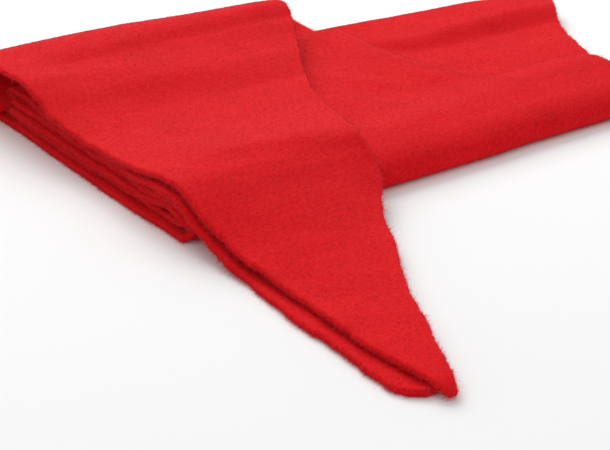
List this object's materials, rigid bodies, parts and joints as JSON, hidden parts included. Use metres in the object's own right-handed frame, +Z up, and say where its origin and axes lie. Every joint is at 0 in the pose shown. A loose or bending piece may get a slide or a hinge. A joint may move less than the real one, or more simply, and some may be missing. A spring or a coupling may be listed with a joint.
{
  "type": "folded triangle scarf",
  "caption": "Long triangle scarf of soft fulled wool, doubled tip to tip and folded in three, with its tips crossing over the near fold.",
  "frame": {"origin": "centre of the outline on the surface that the folded scarf lies on", "axes": "+X along the near fold from the straight raw edges to the wide end, +Y from the near fold to the far fold, +Z up"},
  "size_m": [0.341, 0.3468, 0.0306],
  "materials": {
    "fulled_wool": "milled wool knit with a soft raised nap"
  },
  "bodies": {
    "root": {"flap_upper": "fulled_wool", "flap_lower": "fulled_wool", "band_outer": "fulled_wool", "band_inner": "fulled_wool"}
  },
  "joints": []
}
